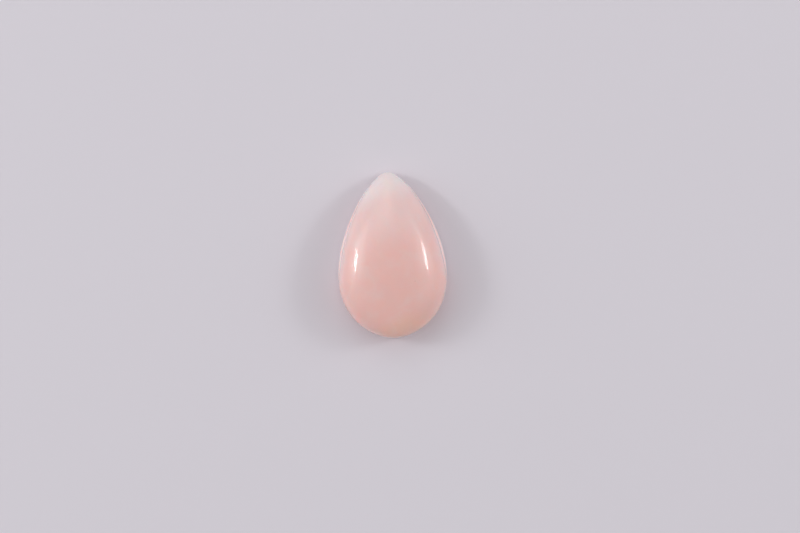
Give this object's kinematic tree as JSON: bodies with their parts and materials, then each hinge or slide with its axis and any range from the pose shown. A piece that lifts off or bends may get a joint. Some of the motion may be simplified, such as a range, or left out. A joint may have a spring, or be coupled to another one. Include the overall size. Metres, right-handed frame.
{
  "type": "pear cabochon gemstone",
  "caption": "Pear-shaped pink opal cabochon: a polished domed top, a narrow girdle and a flat bevelled back.",
  "frame": {"origin": "on the flat back, below the middle of the pear outline's length and width", "axes": "+Z out of the dome, +Y from the belly end to the tip, +X across the stone to the right as seen from above with the tip up"},
  "size_m": [0.0092, 0.014, 0.0042],
  "materials": {
    "pink_opal": "polished, waxy lustre, softly translucent at the thin edges"
  },
  "bodies": {
    "root": {"opal_cabochon": "pink_opal"}
  },
  "joints": []
}
